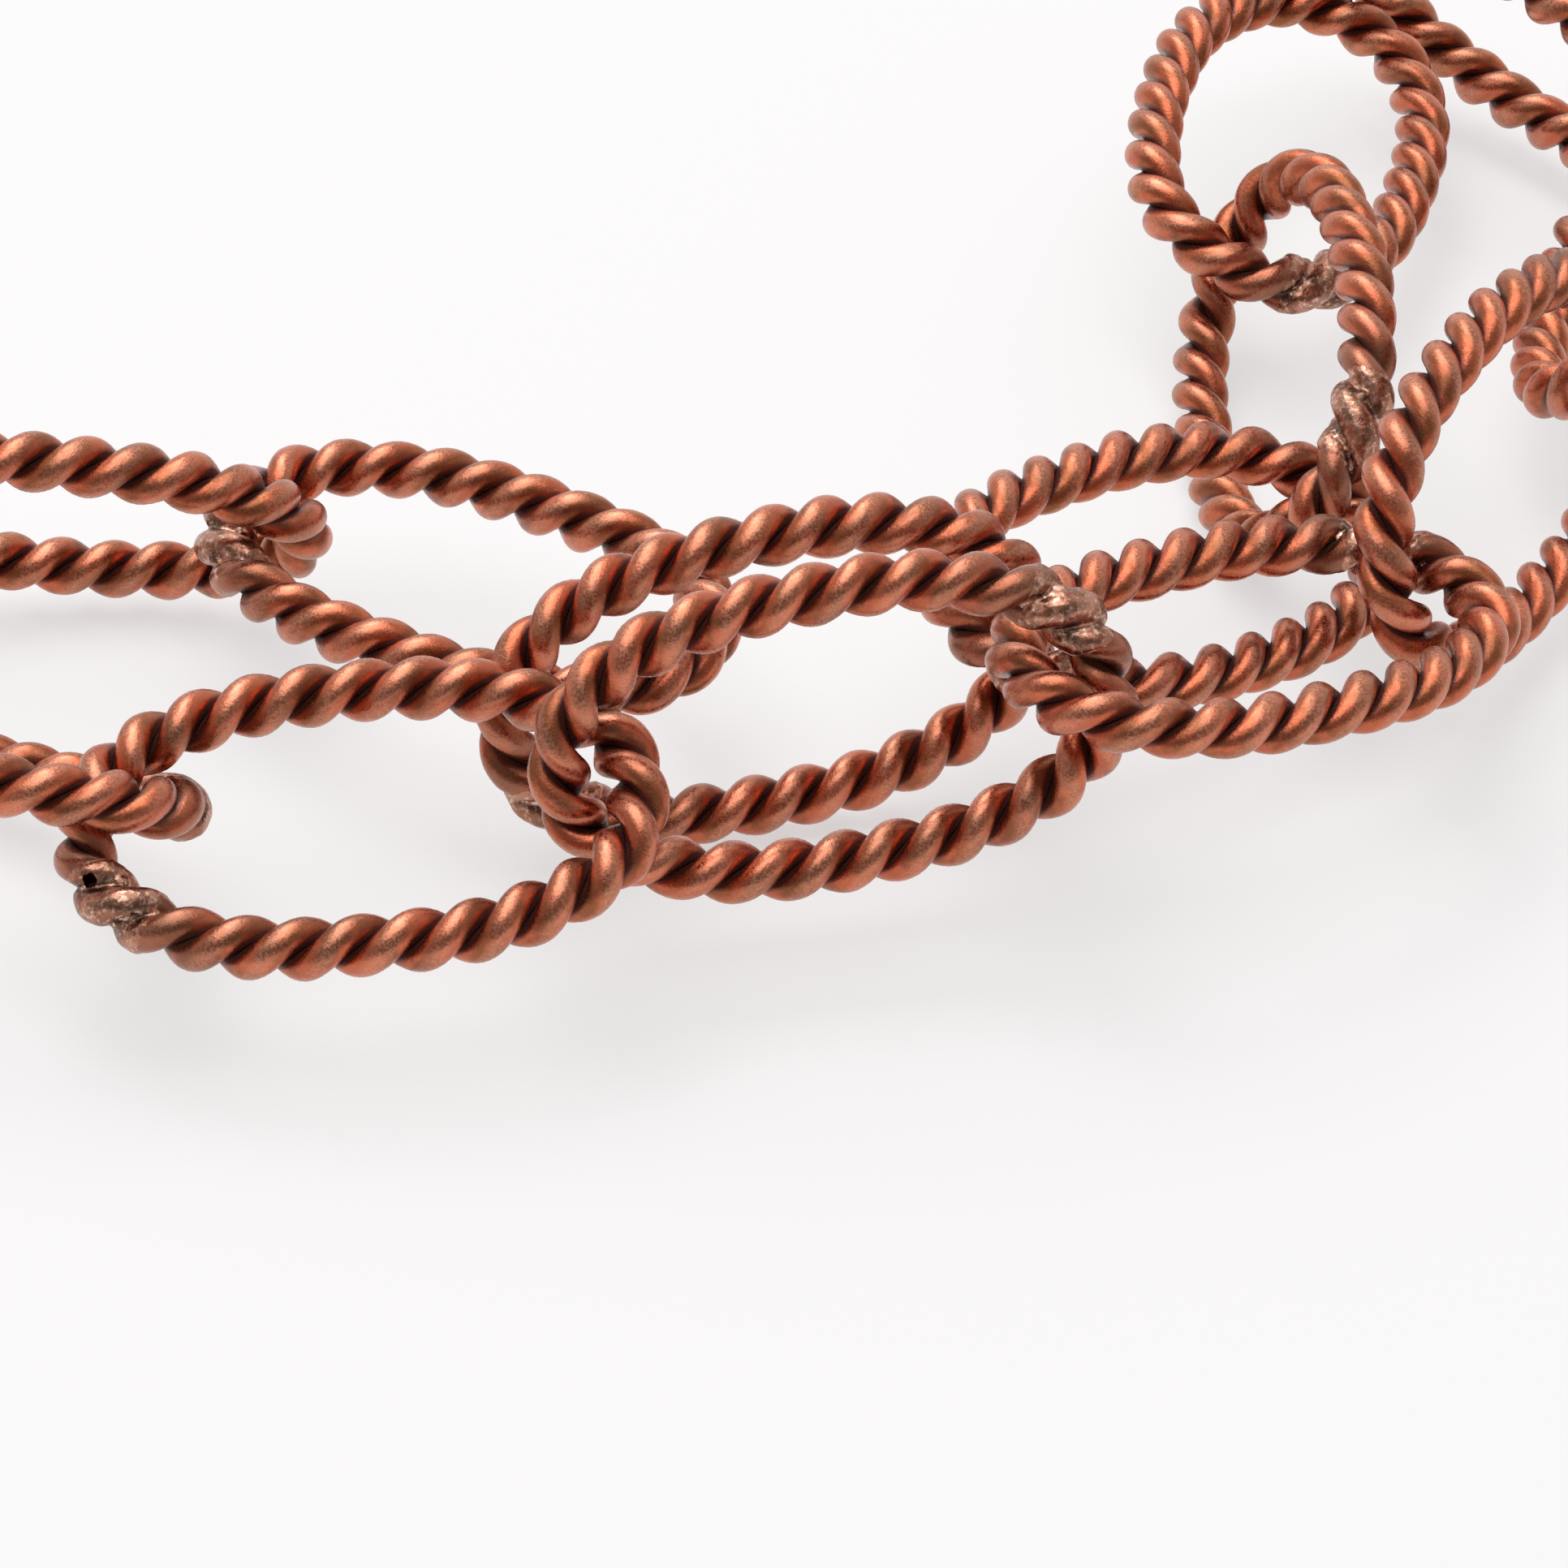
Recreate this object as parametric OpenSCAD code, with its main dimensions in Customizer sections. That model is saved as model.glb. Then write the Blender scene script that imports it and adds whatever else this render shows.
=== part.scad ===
// Loose length of oval-link chain, every link bent from two copper wires twisted together.
//
// A link is made flat: the pair of wires follows one oval, turning round each other left-handed,
// and a bead of solder closes the oval where the cut ends meet. The links then hook through each
// other, end inside end, and lie on a flat surface at z = 0. Every link is placed from the one
// before it, so changing a size carries through the whole chain.

/* [Link] */
// Outside length of one link
link_len = 19.6; // [16:0.1:24]
// Outside width of one link
link_w = 11.6; // [10:0.1:14]
// Roundness of the oval: 2 is a true ellipse, more is squarer
oval_power = 2.3; // [2:0.1:2.8]

/* [Wire] */
// Thickness of each of the two wires
wire_d = 1; // [0.8:0.05:1.2]
// Full turns that the wires make round each other in one link
turns = 12.5; // [10:0.5:15]
// Free space between the two wires
lay_gap = 0.04; // [0.02:0.01:0.1]

/* [Solder] */
// Length of the solder bead along the link
bead_len = 2.6; // [2:0.1:4]
// Thickness of the bead, as a share of the twisted pair
bead_fat = 0.98; // [0.9:0.02:1.1]
// Place of the joint, in degrees round the oval from the end of the link
seam = 32; // [20:1:45]
// Free space between the bead and each cut wire end
seat_gap = 0.04; // [0.02:0.01:0.1]

/* [Chain] */
// Free space between two hooked links
hook_gap = 0.3; // [0.2:0.05:0.5]

/* [Smoothness] */
// Sides of each wire
sides = 4; // [4:1:8]
// Cross-sections in each turn of the twist
rings_per_turn = 5.2; // [4.8:0.2:12]
// Width of a wire's inner side, as a share of its outer side
tuck = 0.65; // [0.5:0.05:0.8]

/* [Hidden] */
copper = [0.69, 0.38, 0.26];
dark_copper = [0.60, 0.32, 0.21];
solder_grey = [0.71, 0.62, 0.57];

// How each link lies: [heading, rise, lean] turn it in degrees, heading round the vertical,
// rise along its length and lean round its length. The last two numbers slide the hook along
// the curve of an end: how far round its own end it holds the link before it, and how far round
// the other end the next link holds it.
lay = [
    [-30, 10, -35, 0, -15],
    [0, 5, 20, 0, 10, 1],
    [10, 5, 80, 5, 5],
    [35, -10, 0, 5, 5],
    [60, 0, 70, 10, 5],
    [75, 0, -50, 5, -15],
    [130, 0, 65, -10, -15],
    [-105, 0, -20, -5, -5],
    [-85, 0, 60, 20, -5],
    [-140, 10, -15, 0, 0],
    [-165, -5, -80, 5, -5],
    [150, 0, 0, -60, -5],
    [-175, 10, 55, 5, 0],
];
links = len(lay);

// ---- One flat link, +x along it, +y across it ----

// The pair of wires is twice a wire thick; its middle line follows an oval of these half sizes.
pair_d = 2 * wire_d;
half_l = (link_len - pair_d) / 2;
half_w = (link_w - pair_d) / 2;

function soft_power(v, e) = sign(v) * pow(abs(v), e);
function oval(a) = [
    half_l * soft_power(cos(a), 2 / oval_power),
    half_w * soft_power(sin(a), 2 / oval_power),
    0
];
function unit(v) = v / norm(v);
function along(a) = unit(oval(a + 0.5) - oval(a - 0.5));

// Distance round the oval against angle, so that the twist is even all the way round.
fine = 2;
travel = [
    for (a = 0, s = 0; a <= 360; s = s + norm(oval(a + fine) - oval(a)), a = a + fine)
        [s, a]
];
girth = travel[len(travel) - 1][0];
function angle_at(s) = lookup(s - girth * floor(s / girth), travel);
function distance_at(a) = lookup(a, [for (p = travel) [p[1], p[0]]]);

// ---- Placing the links ----

function turned(q) =
    let (ch = cos(q[0]), sh = sin(q[0]))
    let (cr = cos(q[1]), sr = sin(q[1]))
    let (cl = cos(q[2]), sl = sin(q[2]))
    [
        [ch * cr, -sh * cl - ch * sr * sl, sh * sl - ch * sr * cl],
        [sh * cr, ch * cl - sh * sr * sl, -ch * sl - sh * sr * cl],
        [sr, cr * sl, cr * cl],
    ];
facing = [for (q = lay) turned(q)];
held_at = [for (q = lay) 180 + q[3]];
holds_at = [for (q = lay) q[4]];

// Where two links hook, one end crosses inside the other. The line between their middle lines
// is square to both wires and points into the link that is already placed.
function hook_line(k, c) =
    let (t = facing[k] * along(holds_at[k]))
    let (u = facing[k + 1] * along(held_at[k + 1]))
    let (w = unit(cross(t, u)))
    w * (facing[k] * oval(holds_at[k])) > 0 ? -w : w;
function next_centre(k, c) = c
    + facing[k] * oval(holds_at[k])
    + (pair_d + hook_gap) * hook_line(k, c)
    - facing[k + 1] * oval(held_at[k + 1]);
loose_centres = [
    for (k = 0, c = [0, 0, 0]; k < links; c = k < links - 1 ? next_centre(k, c) : c, k = k + 1) c
];

// ---- The twisted pair and its solder bead ----

// A wire starts at one face of the bead and ends at the other.
function joint_of(k) = lay[k][5] == 1 ? seam + 180 : seam;
rings = round(turns * rings_per_turn);

// A wire's cross-section is a polygon about as large as its round wire, narrower on the side that
// faces the other wire. Between two cross-sections a wire runs straight and cuts inside its true
// curve, so the wires wind on a slightly wider circle and keep clear of each other halfway along.
wind_r = (wire_d + lay_gap) / 2 / pow(cos(180 / rings_per_turn), 0.5);
wire_r = wire_d * sqrt(PI / (2 * sides * sin(360 / sides)));

// Cross-section i of wire w (0 or 1), made square to the run of the wire itself.
function ring(k, w, i) =
    let (s0 = distance_at(joint_of(k)) + bead_len / 2)
    let (run = girth - bead_len)
    let (s = s0 + run * i / rings)
    let (a = angle_at(s))
    let (t = along(a))
    let (out = [t[1], -t[0], 0])
    let (twist = 360 * turns * (s - s0) / girth + 180 * w)
    let (away = out * cos(twist) + [0, 0, 1] * sin(twist))
    let (spin = [0, 0, 1] * cos(twist) - out * sin(twist))
    let (run_dir = unit(t + spin * (2 * PI * turns / girth * wind_r)))
    let (side = cross(run_dir, away))
    let (middle = oval(a) + away * wind_r)
    [
        for (j = [0 : sides - 1])
            let (b = 360 * (j + 0.5) / sides)
            let (breadth = cos(b) < 0 ? tuck : 1)
            let (p = middle + (away * cos(b) + side * sin(b) * breadth) * wire_r)
            i == 0 ? cut_flat(k, p, run_dir, 1) : i == rings ? cut_flat(k, p, run_dir, -1) : p
    ];

// The cut ends stand flat against the bead: a point slides along its wire to the cut's plane.
function cut_flat(k, p, run_dir, end) =
    let (square = along(joint_of(k)))
    let (cut = oval(joint_of(k)) + square * (end * bead_len / 2))
    p - run_dir * ((p - cut) * square / (run_dir * square));

// A tube through rings of equal count, closed at both ends. The patch between two cross-sections
// is twisted. It is folded outward all round but on the side that faces the other wire, where it
// is folded inward and leaves that wire its room.
module tube(ring_list) {
    n = len(ring_list[0]);
    m = len(ring_list);
    polyhedron(
        points = [for (r = ring_list) for (p = r) p],
        faces = concat(
            [[for (j = [0 : n - 1]) j]],
            [
                for (i = [0 : m - 2])
                    for (j = [0 : n - 1])
                        let (j2 = (j + 1) % n)
                        let (here = i * n)
                        let (next = here + n)
                        let (faces_partner = cos(360 * (j + 1) / n) < -0.5)
                        each faces_partner
                            ? [[here + j, next + j, here + j2], [here + j2, next + j, next + j2]]
                            : [[here + j, next + j2, here + j2], [here + j, next + j, next + j2]]
            ],
            [[for (j = [n - 1 : -1 : 0]) (m - 1) * n + j]]
        )
    );
}

// The bead is a short barrel, fuller in the middle, whose flat faces meet the cut wire ends.
bead_r = bead_fat * pair_d / 2;
bead_steps = 6;
function barrel(u) = bead_r * (0.8 + 0.2 * cos(90 * u));
module bead() {
    half = bead_len / 2 - seat_gap;
    rotate_extrude($fn = 32)
        polygon([
            [0, -half],
            for (i = [-bead_steps : 2 : bead_steps])
                let (u = i / bead_steps)
                [barrel(u), half * u],
            [0, half],
        ]);
}

// ---- The chain on the ground ----

// Everything is moved together so that the chain rests on z = 0 with its box centred on the axes.
function on_link(k, p) = loose_centres[k] + facing[k] * p;
outline = [
    for (k = [0 : links - 1])
        for (w = [0, 1])
            for (i = [0 : rings])
                for (p = ring(k, w, i))
                    on_link(k, p)
];
low = [for (axis = [0 : 2]) min([for (p = outline) p[axis]])];
high = [for (axis = [0 : 2]) max([for (p = outline) p[axis]])];
shift = [-(low[0] + high[0]) / 2, -(low[1] + high[1]) / 2, -low[2]];

module placed(k)
    translate(loose_centres[k] + shift)
        rotate([lay[k][2], -lay[k][1], lay[k][0]])
            children();

module wire_a(k) color(copper) placed(k) tube([for (i = [0 : rings]) ring(k, 0, i)]);
module wire_b(k) color(dark_copper) placed(k) tube([for (i = [0 : rings]) ring(k, 1, i)]);
module solder(k) {
    a = joint_of(k);
    t = along(a);
    color(solder_grey)
        placed(k)
            translate(oval(a))
                rotate([0, 0, atan2(t[1], t[0])])
                    rotate([0, 90, 0])
                        bead();
}

// Each hook: a point in the middle of the wire that holds, with its run, and the same for the
// wire of the next link that is held.
for (k = [0 : links - 2])
    echo(
        hook = k + 1,
        at = on_link(k, oval(holds_at[k])) + shift,
        run = facing[k] * along(holds_at[k]),
        held_at = on_link(k + 1, oval(held_at[k + 1])) + shift,
        held_run = facing[k + 1] * along(held_at[k + 1])
    );
for (k = [0 : links - 1])
    echo(link = k + 1, centre = loose_centres[k] + shift, facing = facing[k]);
echo(size = high - low, girth = girth, rings = rings);

function named(k, piece) = str("link_", k < 9 ? "0" : "", k + 1, "_", piece);
for (k = [0 : links - 1]) {
    wire_a(k);
    wire_b(k);
    solder(k);
}
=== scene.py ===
import math

import bpy
import numpy as np
from mathutils import Matrix, Vector


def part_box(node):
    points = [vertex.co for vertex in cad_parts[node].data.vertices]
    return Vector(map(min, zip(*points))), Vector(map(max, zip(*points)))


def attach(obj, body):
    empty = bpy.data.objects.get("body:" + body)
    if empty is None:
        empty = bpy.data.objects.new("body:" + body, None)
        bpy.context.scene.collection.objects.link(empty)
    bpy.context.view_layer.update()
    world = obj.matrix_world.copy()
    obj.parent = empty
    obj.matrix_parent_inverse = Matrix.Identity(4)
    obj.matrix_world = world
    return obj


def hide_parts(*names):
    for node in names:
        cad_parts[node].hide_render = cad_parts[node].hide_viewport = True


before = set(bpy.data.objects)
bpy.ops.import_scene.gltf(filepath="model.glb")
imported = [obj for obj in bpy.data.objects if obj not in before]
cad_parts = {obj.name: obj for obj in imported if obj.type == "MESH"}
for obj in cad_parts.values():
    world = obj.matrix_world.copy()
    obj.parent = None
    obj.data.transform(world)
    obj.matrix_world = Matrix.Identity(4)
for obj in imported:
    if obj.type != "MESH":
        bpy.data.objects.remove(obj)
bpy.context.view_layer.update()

# Camera: a long lens close to the front strand, looking down on the chain at a bit less than
# half a right angle, with everything in focus.
MM = 0.001
camera_aim = Vector((0.62, -21.16, 5.51)) * MM
camera_drop = math.radians(37)
camera_away = 0.25
view_width = 50.18 * MM
camera_data = bpy.data.cameras.new("camera")
camera_data.sensor_fit = "HORIZONTAL"
camera_data.angle = 2 * math.atan(view_width / 2 / camera_away)
camera_data.clip_start = 0.01
camera_data.clip_end = 20
camera = bpy.data.objects.new("camera", camera_data)
bpy.context.scene.collection.objects.link(camera)
looking = Vector((0, math.cos(camera_drop), -math.sin(camera_drop)))
camera.location = camera_aim - looking * camera_away
camera.rotation_euler = (math.pi / 2 - camera_drop, 0, 0)
bpy.context.scene.camera = camera
bpy.context.scene.view_settings.view_transform = "Standard"

# Ground: a plain matt white board under the chain, wide enough to fill every view. It glows a
# little for the eye and for the metal that mirrors it, so that shadows on it stay pale; the light
# it throws on the chain is its plain colour.
board_width = 6
board_white = (0.84, 0.833, 0.833, 1)
glow_white = (0.955, 0.945, 0.945, 1)
glow_share = 0.60
bpy.ops.object.select_all(action="DESELECT")
bpy.ops.mesh.primitive_plane_add(size=board_width)
ground = bpy.context.object
ground.name = "ground"
white = bpy.data.materials.new("white_board")
white.use_nodes = True
tree = white.node_tree
board = tree.nodes["Principled BSDF"]
board.inputs["Base Color"].default_value = board_white
board.inputs["Roughness"].default_value = 0.9
board.inputs["Specular IOR Level"].default_value = 0.1
glow = tree.nodes.new("ShaderNodeEmission")
glow.inputs["Color"].default_value = glow_white
seen_by = tree.nodes.new("ShaderNodeLightPath")
share = None
for ray in ("Is Camera Ray", "Is Glossy Ray", "Is Transmission Ray"):
    more = tree.nodes.new("ShaderNodeMath")
    more.operation = "MULTIPLY_ADD"
    more.inputs[1].default_value = glow_share
    more.inputs[2].default_value = 0
    tree.links.new(seen_by.outputs[ray], more.inputs[0])
    if share:
        tree.links.new(share, more.inputs[2])
    share = more.outputs[0]
surface = tree.nodes.new("ShaderNodeMixShader")
tree.links.new(share, surface.inputs[0])
tree.links.new(board.outputs[0], surface.inputs[1])
tree.links.new(glow.outputs[0], surface.inputs[2])
tree.links.new(surface.outputs[0], tree.nodes["Material Output"].inputs["Surface"])
ground.data.materials.append(white)

# Light: a wide soft box over the chain, a smaller and weaker one behind it at the left, and a
# pale room all round that is darker towards the front.
room_front = (0.24, 0.237, 0.237, 1)
room_back = (0.92, 0.91, 0.91, 1)
room_fade = 0.85


def soft_box(name, place, width, watts):
    lamp = bpy.data.lights.new(name, "AREA")
    lamp.shape = "SQUARE"
    lamp.size = width
    lamp.energy = watts
    holder = bpy.data.objects.new(name, lamp)
    bpy.context.scene.collection.objects.link(holder)
    holder.location = place
    holder.rotation_euler = (-Vector(place)).to_track_quat("-Z", "Y").to_euler()


soft_box("overhead_light", (-0.05, -0.03, 0.40), 0.38, 0.92)
soft_box("back_light", (-0.08, 0.20, 0.34), 0.18, 0.36)
room = bpy.data.worlds.new("room")
room.use_nodes = True
tree = room.node_tree
toward = tree.nodes.new("ShaderNodeSeparateXYZ")
tree.links.new(tree.nodes.new("ShaderNodeTexCoord").outputs["Generated"], toward.inputs[0])
depth = tree.nodes.new("ShaderNodeMapRange")
depth.inputs["From Min"].default_value = -room_fade
depth.inputs["From Max"].default_value = room_fade
fade = tree.nodes.new("ShaderNodeValToRGB")
fade.color_ramp.elements[0].color = room_front
fade.color_ramp.elements[1].color = room_back
tree.links.new(toward.outputs["Y"], depth.inputs["Value"])
tree.links.new(depth.outputs["Result"], fade.inputs["Fac"])
tree.links.new(fade.outputs["Color"], tree.nodes["Background"].inputs["Color"])
bpy.context.scene.world = room

# Wires: each link is bent from two round copper wires, a millimetre thick, twisted together
# left-handed and closed round an oval former, twelve and a half turns to a link. One link is made
# lying flat, with a metre for each millimetre, and copied to its thirteen places in the chain.
oval_long = 8.8  # from the middle of the link to the middle of the pair, along the link
oval_wide = 4.8  # and across it
oval_power = 2.3  # 2 is an ellipse, more is squarer
joint_angle = math.radians(32)  # place of the joint, from the end of the link
lay_turns = 12.5
lay_radius = 0.495  # from the middle of the pair to the middle of a wire
wire_radius = 0.525
twist_start = 1.3  # distance past the joint's middle at which wire a lies on the outside
wire_end = 0.9  # the cut ends lie this far from the joint's middle, under the solder


def oval(angle):
    along, across = math.cos(angle), math.sin(angle)
    return Vector((oval_long * math.copysign(abs(along) ** (2 / oval_power), along),
                   oval_wide * math.copysign(abs(across) ** (2 / oval_power), across), 0))


def oval_former(name, start_angle, steps=720):
    """The former that a straight piece is bent round, and the distance round it."""
    points = [oval(start_angle + 2 * math.pi * i / steps) for i in range(steps)]
    former = bpy.data.curves.new(name, "CURVE")
    former.dimensions = "3D"
    former.twist_mode = "Z_UP"
    line = former.splines.new("POLY")
    line.points.add(steps - 1)
    line.use_cyclic_u = True
    for knot, point in zip(line.points, points):
        knot.co = (*point, 1)
    jig = bpy.data.objects.new(name, former)
    bpy.context.scene.collection.objects.link(jig)
    return jig, sum((b - a).length for a, b in zip(points, points[1:] + points[:1]))


from_joint_jig, girth = oval_former("jig_from_joint", joint_angle)
lay_length = girth / lay_turns
lay_slope = math.atan(2 * math.pi * lay_radius / lay_length)


def turn_of(x):
    """How far the pair has turned at x along it."""
    return 2 * math.pi * (x - twist_start) / lay_length


def only(piece):
    bpy.ops.object.select_all(action="DESELECT")
    piece.select_set(True)
    bpy.context.view_layer.objects.active = piece


def finish_with(piece, kind, **settings):
    only(piece)
    modifier = piece.modifiers.new(kind, kind)
    for label, value in settings.items():
        setattr(modifier, label, value)
    bpy.ops.object.modifier_apply(modifier=modifier.name)


def set_points(piece, name, values, kind="FLOAT"):
    layer = piece.data.attributes.get(name) or piece.data.attributes.new(name, kind, "POINT")
    layer.data.foreach_set("value" if kind == "FLOAT" else "vector",
                           np.asarray(values, np.float32).ravel())


def points_of(piece):
    flat = np.zeros(len(piece.data.vertices) * 3, np.float32)
    piece.data.vertices.foreach_get("co", flat)
    return flat.reshape(-1, 3)


def twisted_wire(start, run, half_turn, radius, sides=24, steps_per_turn=48):
    """A straight length of one wire of the pair, wound round the X axis from x = start."""
    bpy.ops.object.select_all(action="DESELECT")
    bpy.ops.mesh.primitive_circle_add(
        vertices=sides, radius=radius, location=(0, -lay_radius, 0),
        rotation=(0, math.pi / 2 - lay_slope, 0))
    wire = bpy.context.object
    bpy.ops.object.transform_apply(location=True, rotation=True, scale=True)
    around = [(0, math.cos(2 * math.pi * i / sides), math.sin(2 * math.pi * i / sides))
              for i in range(sides)]
    set_points(wire, "lay", around, "FLOAT_VECTOR")
    steps = round(run / lay_length * steps_per_turn)
    finish_with(wire, "SCREW", axis="X", angle=-2 * math.pi * run / lay_length,
                screw_offset=run, steps=steps, render_steps=steps, use_smooth_shade=True)
    bpy.ops.object.mode_set(mode="EDIT")
    bpy.ops.mesh.select_all(action="SELECT")
    bpy.ops.mesh.fill_holes(sides=0)
    bpy.ops.mesh.select_all(action="SELECT")
    bpy.ops.mesh.normals_make_consistent(inside=False)
    bpy.ops.object.mode_set(mode="OBJECT")
    wire.data.transform(Matrix.Translation((start, 0, 0))
                        @ Matrix.Rotation(-turn_of(start) + math.pi * half_turn, 4, "X"))
    return wire


def note_finish(piece):
    """What the finish follows: depth in the twist, and distance from the joint's middle."""
    place = points_of(piece)
    set_points(piece, "crest", np.hypot(place[:, 1], place[:, 2]) / (lay_radius + wire_radius))
    away = np.abs(place[:, 0])
    set_points(piece, "from_joint", np.minimum(away, girth - away))


# The copper is darkened with liver of sulphur and rubbed back, so that the crests are bright and
# slightly pink, the sides red brown, and the grooves between the wires stay dark with patina. The
# black deep in the grooves is partly painted shade, standing for the shade between the two wires.
# Handling leaves brown patches and a fine grain.
# patina and painted shade in one colour: the black that the grooves get deep in the twist
groove_patina_and_shade = (0.13, 0.040, 0.030)
pit_black = (0.13, 0.042, 0.024)
rubbed_pink = (0.76, 0.34, 0.22, 1)
flame_brown = (0.20, 0.085, 0.05)
copper_of = {"a": (0.56, 0.137, 0.062), "b": (0.52, 0.124, 0.056)}
oxide_of = {"a": (0.25, 0.082, 0.028), "b": (0.21, 0.071, 0.026)}
black_to_open = (0.68, 0.84)  # shares of the way from the middle of the pair to its outside
dull_to_metal = (0.58, 0.78)
open_to_rubbed = (1.00, 1.18)
grain_relief = 0.013 * MM


def finish_group(name, inputs, outputs):
    group = bpy.data.node_groups.new(name, "ShaderNodeTree")
    for label, kind, value in inputs:
        socket = group.interface.new_socket(label, in_out="INPUT", socket_type=kind)
        socket.default_value = value
    for label, kind in outputs:
        group.interface.new_socket(label, in_out="OUTPUT", socket_type=kind)
    return group, group.nodes.new("NodeGroupInput"), group.nodes.new("NodeGroupOutput")


def place_in_mm(tree):
    """Place on the piece, in millimetres."""
    place = tree.nodes.new("ShaderNodeTexCoord")
    in_mm = tree.nodes.new("ShaderNodeMapping")
    in_mm.inputs["Scale"].default_value = (1 / MM, 1 / MM, 1 / MM)
    tree.links.new(place.outputs["Object"], in_mm.inputs["Vector"])
    return in_mm.outputs["Vector"]


def cloudy(tree, place, scale, detail, rough):
    node = tree.nodes.new("ShaderNodeTexNoise")
    node.inputs["Scale"].default_value = scale
    node.inputs["Detail"].default_value = detail
    node.inputs["Roughness"].default_value = rough
    tree.links.new(place, node.inputs["Vector"])
    return node.outputs["Fac"]


def soft_step(tree, value, low, high, to_low=0.0, to_high=1.0):
    node = tree.nodes.new("ShaderNodeMapRange")
    node.interpolation_type = "SMOOTHSTEP"
    for label, number in (("From Min", low), ("From Max", high),
                          ("To Min", to_low), ("To Max", to_high)):
        node.inputs[label].default_value = number
    tree.links.new(value, node.inputs["Value"])
    return node.outputs["Result"]


def reckon(tree, kind, *values):
    node = tree.nodes.new("ShaderNodeMath")
    node.operation = kind
    for socket, value in zip(node.inputs, values):
        if isinstance(value, (int, float)):
            socket.default_value = value
        else:
            tree.links.new(value, socket)
    return node.outputs["Value"]


def mixed(tree, share, first, second):
    node = tree.nodes.new("ShaderNodeMix")
    node.data_type = "RGBA"
    sockets = {socket.identifier: socket for socket in node.inputs}
    tree.links.new(share, sockets["Factor_Float"])
    for label, value in (("A_Color", first), ("B_Color", second)):
        if isinstance(value, tuple):
            sockets[label].default_value = (*value, 1)
        else:
            tree.links.new(value, sockets[label])
    return [socket for socket in node.outputs if socket.identifier == "Result_Color"][0]


def read_point(tree, name, output):
    node = tree.nodes.new("ShaderNodeAttribute")
    node.attribute_name = name
    return node.outputs[output]


patina_and_groove_shade, into, out = finish_group(
    "patina_and_groove_shade",
    [("Crest", "NodeSocketFloat", 1.0), ("Lay", "NodeSocketVector", (0, 0, 0)),
     ("Copper", "NodeSocketColor", (0.5, 0.15, 0.07, 1)),
     ("Oxide", "NodeSocketColor", (0.2, 0.08, 0.03, 1)),
     ("Rubbed", "NodeSocketColor", rubbed_pink)],
    [("Color", "NodeSocketColor"), ("Roughness", "NodeSocketFloat"),
     ("Metallic", "NodeSocketFloat"), ("Height", "NodeSocketFloat")])
in_mm = place_in_mm(patina_and_groove_shade)
patch = cloudy(patina_and_groove_shade, in_mm, 0.75, 3, 0.6)
grain = cloudy(patina_and_groove_shade, in_mm, 11, 3, 0.65)
pits = cloudy(patina_and_groove_shade, in_mm, 7, 2, 0.7)
streak = cloudy(patina_and_groove_shade, into.outputs["Lay"], 1.6, 4, 0.6)
ragged = reckon(patina_and_groove_shade, "MULTIPLY_ADD", streak, 0.16, into.outputs["Crest"])
ragged = reckon(patina_and_groove_shade, "MULTIPLY_ADD", grain, 0.10, ragged)
open_metal = soft_step(patina_and_groove_shade, ragged, *black_to_open)
rubbed = reckon(patina_and_groove_shade, "MULTIPLY", soft_step(patina_and_groove_shade, ragged, *open_to_rubbed),
                soft_step(patina_and_groove_shade, grain, 0.42, 0.64, to_low=0.30, to_high=0.70))
stained = soft_step(patina_and_groove_shade, reckon(patina_and_groove_shade, "MULTIPLY_ADD", streak, 0.35, patch),
                    0.58, 0.80, to_high=0.8)
pitted = soft_step(patina_and_groove_shade, pits, 0.62, 0.72, to_high=0.35)
colour = mixed(patina_and_groove_shade, stained, into.outputs["Copper"], into.outputs["Oxide"])
colour = mixed(patina_and_groove_shade, rubbed, colour, into.outputs["Rubbed"])
colour = mixed(patina_and_groove_shade, pitted, colour, pit_black)
# deep in the twist the colour goes to the groove black, which is dark patina and painted shade
# between the wires
colour = mixed(patina_and_groove_shade, open_metal, groove_patina_and_shade, colour)
patina_and_groove_shade.links.new(colour, out.inputs["Color"])
dull = reckon(patina_and_groove_shade, "MULTIPLY_ADD", stained, 0.10,
              soft_step(patina_and_groove_shade, grain, 0.36, 0.62, to_low=0.17, to_high=0.37))
patina_and_groove_shade.links.new(dull, out.inputs["Roughness"])
patina_and_groove_shade.links.new(soft_step(patina_and_groove_shade, ragged, *dull_to_metal, to_low=0.35), out.inputs["Metallic"])
patina_and_groove_shade.links.new(reckon(patina_and_groove_shade, "MULTIPLY_ADD", streak, 1.5, grain), out.inputs["Height"])


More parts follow.
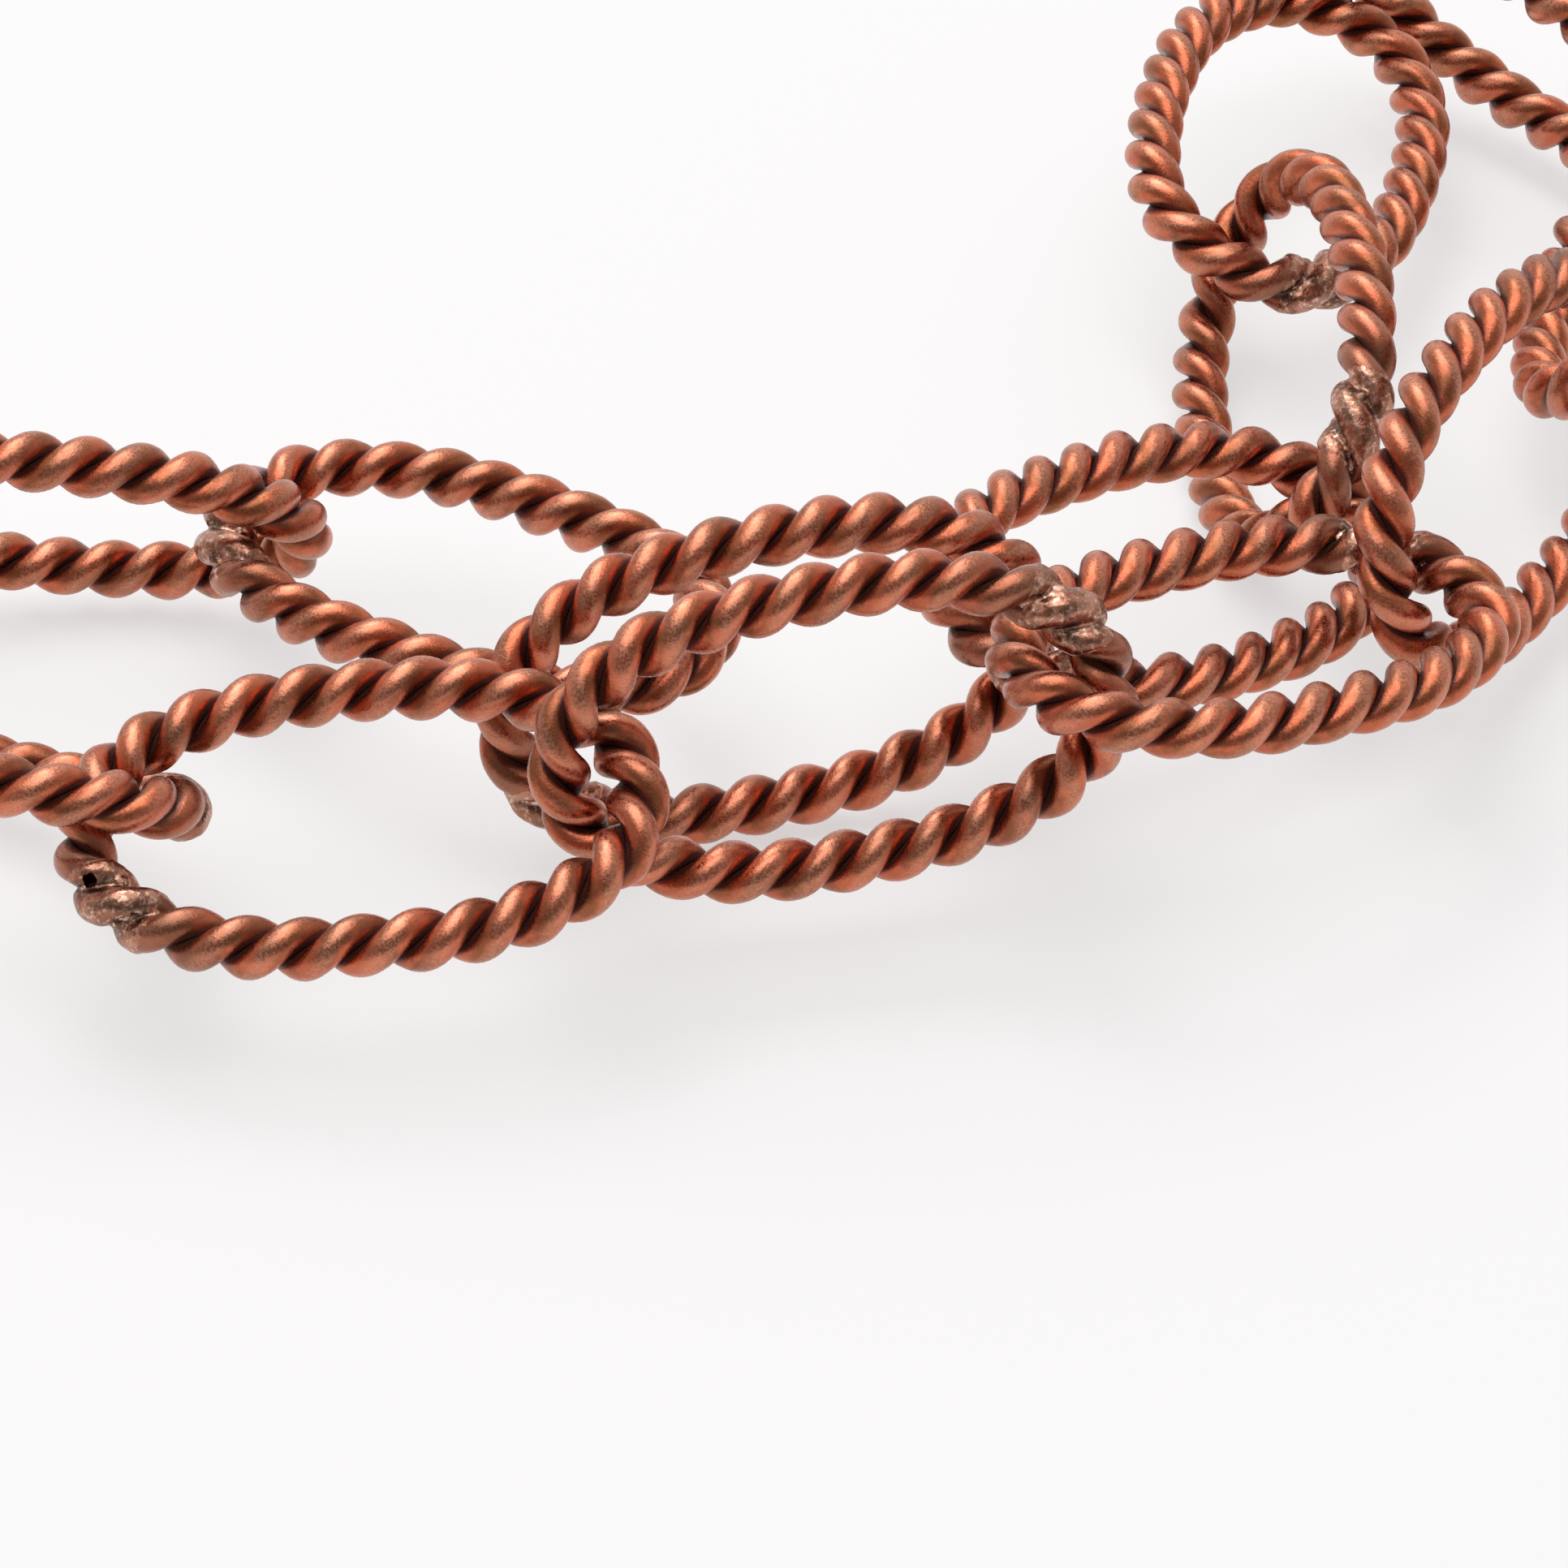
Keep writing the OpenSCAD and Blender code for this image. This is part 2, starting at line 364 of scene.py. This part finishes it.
def copper_finish(name, copper, oxide):
    material = bpy.data.materials.new(name)
    material.use_nodes = True
    tree = material.node_tree
    metal = tree.nodes["Principled BSDF"]
    worn_and_groove_shade = tree.nodes.new("ShaderNodeGroup")
    worn_and_groove_shade.node_tree = patina_and_groove_shade
    tree.links.new(read_point(tree, "crest", "Fac"), worn_and_groove_shade.inputs["Crest"])
    tree.links.new(read_point(tree, "lay", "Vector"), worn_and_groove_shade.inputs["Lay"])
    worn_and_groove_shade.inputs["Copper"].default_value = (*copper, 1)
    worn_and_groove_shade.inputs["Oxide"].default_value = (*oxide, 1)
    # near the joint the flame leaves the copper browner
    flame = soft_step(tree, read_point(tree, "from_joint", "Fac"), 1.2, 4.5,
                      to_low=0.65, to_high=0.0)
    colour = mixed(tree, flame, worn_and_groove_shade.outputs["Color"], flame_brown)
    tree.links.new(colour, metal.inputs["Base Color"])
    tree.links.new(worn_and_groove_shade.outputs["Roughness"], metal.inputs["Roughness"])
    tree.links.new(worn_and_groove_shade.outputs["Metallic"], metal.inputs["Metallic"])
    # a film of wax over the metal
    metal.inputs["Coat Weight"].default_value = 0.35
    metal.inputs["Coat Roughness"].default_value = 0.3
    relief = tree.nodes.new("ShaderNodeBump")
    relief.inputs["Distance"].default_value = grain_relief
    tree.links.new(worn_and_groove_shade.outputs["Height"], relief.inputs["Height"])
    tree.links.new(relief.outputs["Normal"], metal.inputs["Normal"])
    return material


wires = {}
for letter, half_turn in (("a", 0), ("b", 1)):
    wire = twisted_wire(wire_end, girth - 2 * wire_end, half_turn, wire_radius)
    wire.name = "straight_wire_" + letter
    note_finish(wire)
    # streaks run along the wire, and are not the same on both wires
    lay = np.zeros(len(wire.data.vertices) * 3, np.float32)
    wire.data.attributes["lay"].data.foreach_get("vector", lay)
    lay = lay.reshape(-1, 3)
    lay[:, 0] = points_of(wire)[:, 0] * 0.35 + 31 * half_turn
    set_points(wire, "lay", lay, "FLOAT_VECTOR")
    finish_with(wire, "CURVE", object=from_joint_jig, deform_axis="POS_X")
    bpy.ops.object.shade_smooth_by_angle(angle=math.radians(50))
    wire.data.materials.append(
        copper_finish("copper_" + letter, copper_of[letter], oxide_of[letter]))
    wires[letter] = wire

# How each link lies: its heading turns it round the vertical, its rise tips it up along its
# length and its lean rolls it round its length, all in degrees.
lay_of_links = [
    (-30, 10, -35), (0, 5, 20), (10, 5, 80), (35, -10, 0), (60, 0, 70), (75, 0, -50),
    (130, 0, 65), (-105, 0, -20), (-85, 0, 60), (-140, 10, -15), (-165, -5, -80),
    (150, 0, 0), (-175, 10, 55),
]
end_for_end = {2}  # links whose joint is at their other end
wander = bpy.data.textures.new("out_of_true", "CLOUDS")
wander.cloud_type = "COLOR"
wander.noise_scale = 6 * MM
wander.noise_depth = 1
dents = bpy.data.textures.new("dents", "CLOUDS")
dents.noise_scale = 0.7 * MM
dents.noise_depth = 2
# One joint was not filled right through: a blow-hole the size of a pin is left in its outer side,
# and inside it the wires are eaten back a little further than the solder round them.
pinhole_link = 2
pinhole_along = -1.0
pinhole_up = 1.0
pinhole_depth = 1.2 * MM
pinhole_radius = {"twist_a": 0.3 * MM, "twist_b": 0.3 * MM, "joint": 0.2 * MM}


def drill_pinhole(piece, place, radius):
    side = (oval(joint_angle + 0.01) - oval(joint_angle - 0.01)).normalized()
    outward = (side.cross(Vector((0, 0, 1))) * 0.2 + Vector((0, 0, 1))).normalized()
    top = oval(joint_angle) + side * pinhole_along + outward * pinhole_up
    bpy.ops.object.select_all(action="DESELECT")
    bpy.ops.mesh.primitive_cone_add(vertices=28, radius1=0.7 * radius, radius2=1.5 * radius,
                                    depth=pinhole_depth)
    drill = bpy.context.object
    for point in drill.data.vertices:
        round_it = math.atan2(point.co.y, point.co.x)
        ragged_edge = 1 + 0.16 * math.sin(2 * round_it + 0.6) + 0.07 * math.sin(5 * round_it)
        point.co = (point.co.x * ragged_edge, point.co.y * ragged_edge, point.co.z)
    # painted shade: the hole's walls are marked as the bottom of a groove, so they take the black
    # groove colour, with no trace of bright solder
    set_points(drill, "tin", np.full(len(drill.data.vertices), -1.0))
    set_points(drill, "crest", np.zeros(len(drill.data.vertices)))
    lean = (place.to_3x3() @ outward).to_track_quat("Z", "Y").to_matrix().to_4x4()
    drill.data.transform(Matrix.Translation(place @ top) @ lean)
    finish_with(piece, "BOOLEAN", object=drill, operation="DIFFERENCE", solver="MANIFOLD")
    bpy.data.objects.remove(drill)


def laid_in_chain(master, name, number):
    """A copy of one flat piece where its link lies; bent by hand, no two are quite alike."""
    heading, rise, lean = (math.radians(angle) for angle in lay_of_links[number - 1])
    half_turn = math.pi if number in end_for_end else 0
    facing = (Matrix.Rotation(heading, 4, "Z") @ Matrix.Rotation(-rise, 4, "Y")
              @ Matrix.Rotation(lean, 4, "X") @ Matrix.Rotation(half_turn, 4, "Z"))
    low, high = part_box("link_%02d_solder" % number)
    place = (Matrix.Translation((low + high) / 2) @ facing @ Matrix.Scale(MM, 4)
             @ Matrix.Translation(-oval(joint_angle)))
    piece = bpy.data.objects.new("%s_%02d" % (name, number), master.data.copy())
    bpy.context.scene.collection.objects.link(piece)
    piece.data.transform(place)
    finish_with(piece, "DISPLACE", texture=wander, texture_coords="LOCAL",
                direction="RGB_TO_XYZ", strength=0.25 * MM, mid_level=0.5)
    finish_with(piece, "DISPLACE", texture=dents, texture_coords="LOCAL",
                strength=0.03 * MM, mid_level=0.5)
    if number == pinhole_link:
        drill_pinhole(piece, place, pinhole_radius[name])
    return piece


for number in range(1, len(lay_of_links) + 1):
    for letter in ("a", "b"):
        piece = laid_in_chain(wires[letter], "twist_" + letter, number)
        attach(piece, "link_%02d" % number)
        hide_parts("link_%02d_wire_%s" % (number, letter))
for made in (wires["a"], wires["b"], from_joint_jig):
    bpy.data.objects.remove(made)

# Solder joints: the two cut ends of the twisted pair butt together and hard solder is run over
# them. It fills the grooves for a few millimetres, softens the twist and stands up in lumps; the
# metal is silvery pink, with grey and green-black stains from the flame.
joint_reach = 2.1  # half its length, with the runs along the grooves
coated_radius = 0.585  # of a wire with solder over it
fill_radius = 0.68
fill_length = 1.6
run_length = 1.2  # of each run along the grooves, drawn out from the fill
run_size = 0.42  # of its far end, as a share of the fill
lumps = ((-0.30, 40, 0.62, 0.32), (0.50, 150, 0.60, 0.30), (0.10, 265, 0.64, 0.28))
thin_from = 1.25
thin_over = 0.5
thin_depth = 0.15
bare_wire = 0.47  # distances from a wire's middle at which tin is 0 and 1
all_tin = 0.59
joint_copper = (0.50, 0.17, 0.10, 1)
joint_oxide = (0.12, 0.07, 0.04, 1)
flame_stain = (0.07, 0.060, 0.045)
clean_solder = (0.50, 0.25, 0.17)
silver_fleck = (0.80, 0.57, 0.47)
solder_relief = 0.02 * MM
across_jig, way_round = oval_former("jig_across", joint_angle + math.pi)
joint_parts = [twisted_wire(-joint_reach, 2 * joint_reach, half_turn, coated_radius)
               for half_turn in (0, 1)]
bpy.ops.object.select_all(action="DESELECT")
bpy.ops.mesh.primitive_cylinder_add(vertices=32, radius=fill_radius, depth=fill_length,
                                    rotation=(0, math.pi / 2, 0))
fill = bpy.context.object
bpy.ops.object.transform_apply(location=True, rotation=True, scale=True)
for side in (-1, 1):
    bpy.ops.object.mode_set(mode="EDIT")
    bpy.ops.mesh.select_all(action="DESELECT")
    bpy.ops.object.mode_set(mode="OBJECT")
    for face in fill.data.polygons:
        face.select = face.normal.x * side > 0.9
    bpy.ops.object.mode_set(mode="EDIT")
    bpy.ops.mesh.extrude_region_move(
        TRANSFORM_OT_translate={"value": (side * run_length, 0, 0)})
    bpy.ops.transform.resize(value=(1, run_size, run_size),
                             center_override=(side * (fill_length / 2 + run_length), 0, 0))
    bpy.ops.object.mode_set(mode="OBJECT")
joint_parts.append(fill)
for x, turn, reach, radius in lumps:
    bpy.ops.object.select_all(action="DESELECT")
    turn = math.radians(turn)
    bpy.ops.mesh.primitive_ico_sphere_add(
        subdivisions=3, radius=radius,
        location=(x, reach * math.cos(turn), reach * math.sin(turn)))
    joint_parts.append(bpy.context.object)
only(joint_parts[0])
for part in joint_parts:
    part.select_set(True)
bpy.ops.object.join()
joint = bpy.context.object
joint.name = "straight_joint"
finish_with(joint, "REMESH", mode="VOXEL", voxel_size=0.06, use_smooth_shade=True)
finish_with(joint, "SMOOTH", factor=0.5, iterations=4)
ripples = bpy.data.textures.new("solder_ripples", "CLOUDS")
ripples.noise_scale = 0.45
finish_with(joint, "DISPLACE", texture=ripples, texture_coords="LOCAL", strength=0.07,
            mid_level=0.5)
# towards its ends the joint sinks into the wires, and only the filled grooves still show
thin = joint.vertex_groups.new(name="thin")
for point in joint.data.vertices:
    share = (abs(point.co.x) - thin_from) / thin_over
    thin.add([point.index], min(max(share, 0), 1), "REPLACE")
finish_with(joint, "DISPLACE", vertex_group="thin", strength=-thin_depth, mid_level=0)
note_finish(joint)
# tin is 0 where solder only coats a wire, and 1 where it fills the groove between the two
place = points_of(joint)
from_wire = []
for half_turn in (0, 1):
    angle = turn_of(place[:, 0]) + math.pi * half_turn
    radial = -place[:, 1] * np.cos(angle) + place[:, 2] * np.sin(angle) - lay_radius
    around = place[:, 1] * np.sin(angle) + place[:, 2] * np.cos(angle)
    from_wire.append(np.hypot(radial, around * math.cos(lay_slope)))
set_points(joint, "tin",
           np.clip((np.minimum(*from_wire) - bare_wire) / (all_tin - bare_wire), 0, 1))
joint.data.transform(Matrix.Translation((way_round / 2, 0, 0)))
finish_with(joint, "CURVE", object=across_jig, deform_axis="POS_X")

solder = bpy.data.materials.new("hard_solder")
solder.use_nodes = True
tree = solder.node_tree
metal = tree.nodes["Principled BSDF"]
in_mm = place_in_mm(tree)
worn_and_groove_shade = tree.nodes.new("ShaderNodeGroup")
worn_and_groove_shade.node_tree = patina_and_groove_shade
tree.links.new(read_point(tree, "crest", "Fac"), worn_and_groove_shade.inputs["Crest"])
tree.links.new(in_mm, worn_and_groove_shade.inputs["Lay"])
worn_and_groove_shade.inputs["Copper"].default_value = joint_copper
worn_and_groove_shade.inputs["Oxide"].default_value = joint_oxide
blotch = cloudy(tree, in_mm, 1.5, 4, 0.6)
fleck = cloudy(tree, in_mm, 6, 3, 0.6)
stain = mixed(tree, soft_step(tree, blotch, 0.42, 0.58), flame_stain, clean_solder)
shine = mixed(tree, soft_step(tree, fleck, 0.52, 0.68), stain, silver_fleck)
smeared = reckon(tree, "MULTIPLY", soft_step(tree, blotch, 0.5, 0.62), 0.35)
over = reckon(tree, "MULTIPLY_ADD", read_point(tree, "tin", "Fac"), 0.75, smeared)
tree.links.new(mixed(tree, over, worn_and_groove_shade.outputs["Color"], shine), metal.inputs["Base Color"])
tree.links.new(reckon(tree, "MULTIPLY_ADD", fleck, 0.25, 0.16), metal.inputs["Roughness"])
metal.inputs["Metallic"].default_value = 1
relief = tree.nodes.new("ShaderNodeBump")
relief.inputs["Distance"].default_value = solder_relief
tree.links.new(fleck, relief.inputs["Height"])
tree.links.new(relief.outputs["Normal"], metal.inputs["Normal"])
joint.data.materials.append(solder)

for number in range(1, len(lay_of_links) + 1):
    piece = laid_in_chain(joint, "joint", number)
    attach(piece, "link_%02d" % number)
    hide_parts("link_%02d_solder" % number)
for made in (joint, across_jig):
    bpy.data.objects.remove(made)
